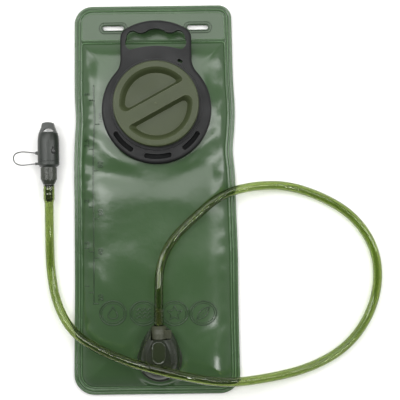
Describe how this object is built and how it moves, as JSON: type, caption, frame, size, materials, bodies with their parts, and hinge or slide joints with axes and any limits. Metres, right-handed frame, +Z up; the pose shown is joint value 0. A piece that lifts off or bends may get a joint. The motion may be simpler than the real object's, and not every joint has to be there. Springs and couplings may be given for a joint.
{
  "type": "hydration bladder",
  "caption": "Flexible drinking reservoir for a rucksack: welded film bag, screw-capped filler with handle ring, push-button hose outlet, free drinking hose and covered bite valve.",
  "frame": {"origin": "under the middle of the bag, on the surface that it lies on", "axes": "+Z up out of the cap side, +Y towards the bag's top edge and handle, +X to the right seen from the cap side"},
  "size_m": [0.3952, 0.42, 0.0557],
  "materials": {
    "film": "satin translucent film",
    "neck": "moulded",
    "handle": "satin moulded",
    "cap": "satin moulded",
    "seal": "matte",
    "connector": "smoky gloss",
    "button": "smoky gloss",
    "spring": "drawn wire",
    "poppet": "natural acetal",
    "plug": "smoky gloss",
    "hose": "translucent",
    "valve": "satin",
    "silicone": "translucent silicone",
    "cover": "satin",
    "tether": "satin"
  },
  "bodies": {
    "root": {"front_sheet": "film", "back_sheet": "film", "neck_collar": "neck", "handle_ring": "handle", "outlet_flange": "connector", "port_o_ring": "seal", "connector_base_ring": "connector", "connector_housing": "connector", "button_spring": "spring", "poppet_spring": "spring"},
    "cap_lift": {"cap_gasket": "seal"},
    "cap": {"screw_cap": "cap"},
    "button": {"release_button": "button"},
    "poppet": {"shutoff_poppet": "poppet"},
    "hose": {"hose_plug": "plug", "plug_o_ring": "seal", "drinking_hose": "hose", "valve_stem": "plug", "valve_o_ring": "seal", "tether_ring": "valve", "bite_mouthpiece": "silicone", "cover_tether": "tether"},
    "twist": {"twist_collar": "valve"},
    "cover": {"dust_cover": "cover"}
  },
  "joints": [
    {"name": "cap_rise", "type": "slide", "parent": "root", "child": "cap_lift", "axis": [0, 0, 1], "range_m": [0, 0.00675]},
    {"name": "cap_turn", "type": "hinge", "parent": "cap_lift", "child": "cap", "pos_m": [0.0035, 0.101, 0.03], "axis": [0, 0, 1], "range_deg": [0, 810]},
    {"name": "button_press", "type": "slide", "parent": "root", "child": "button", "axis": [0, 0, -1], "range_m": [0, 0.002], "stiffness_N_per_m": 1500, "deforming": ["button_spring"]},
    {"name": "hose_release", "type": "slide", "parent": "root", "child": "hose", "axis": [0, 1, 0], "range_m": [0, 0.024]},
    {"name": "poppet_close", "type": "slide", "parent": "root", "child": "poppet", "axis": [0, 1, 0], "range_m": [0, 0.0022], "deforming": ["poppet_spring"]},
    {"name": "valve_twist", "type": "hinge", "parent": "hose", "child": "twist", "pos_m": [-0.1135, 0.03, 0.012], "axis": [0, 1, 0], "range_deg": [0, 90]},
    {"name": "cover_pull", "type": "slide", "parent": "hose", "child": "cover", "axis": [0, 1, 0], "range_m": [0, 0.024], "deforming": ["cover_tether"]}
  ],
  "couplings": [
    {"joint": "cap_rise", "follows": "cap_turn", "m_per_rad": 0.00047746},
    {"joint": "poppet_close", "follows": "hose_release", "ratio": 0.091667}
  ]
}
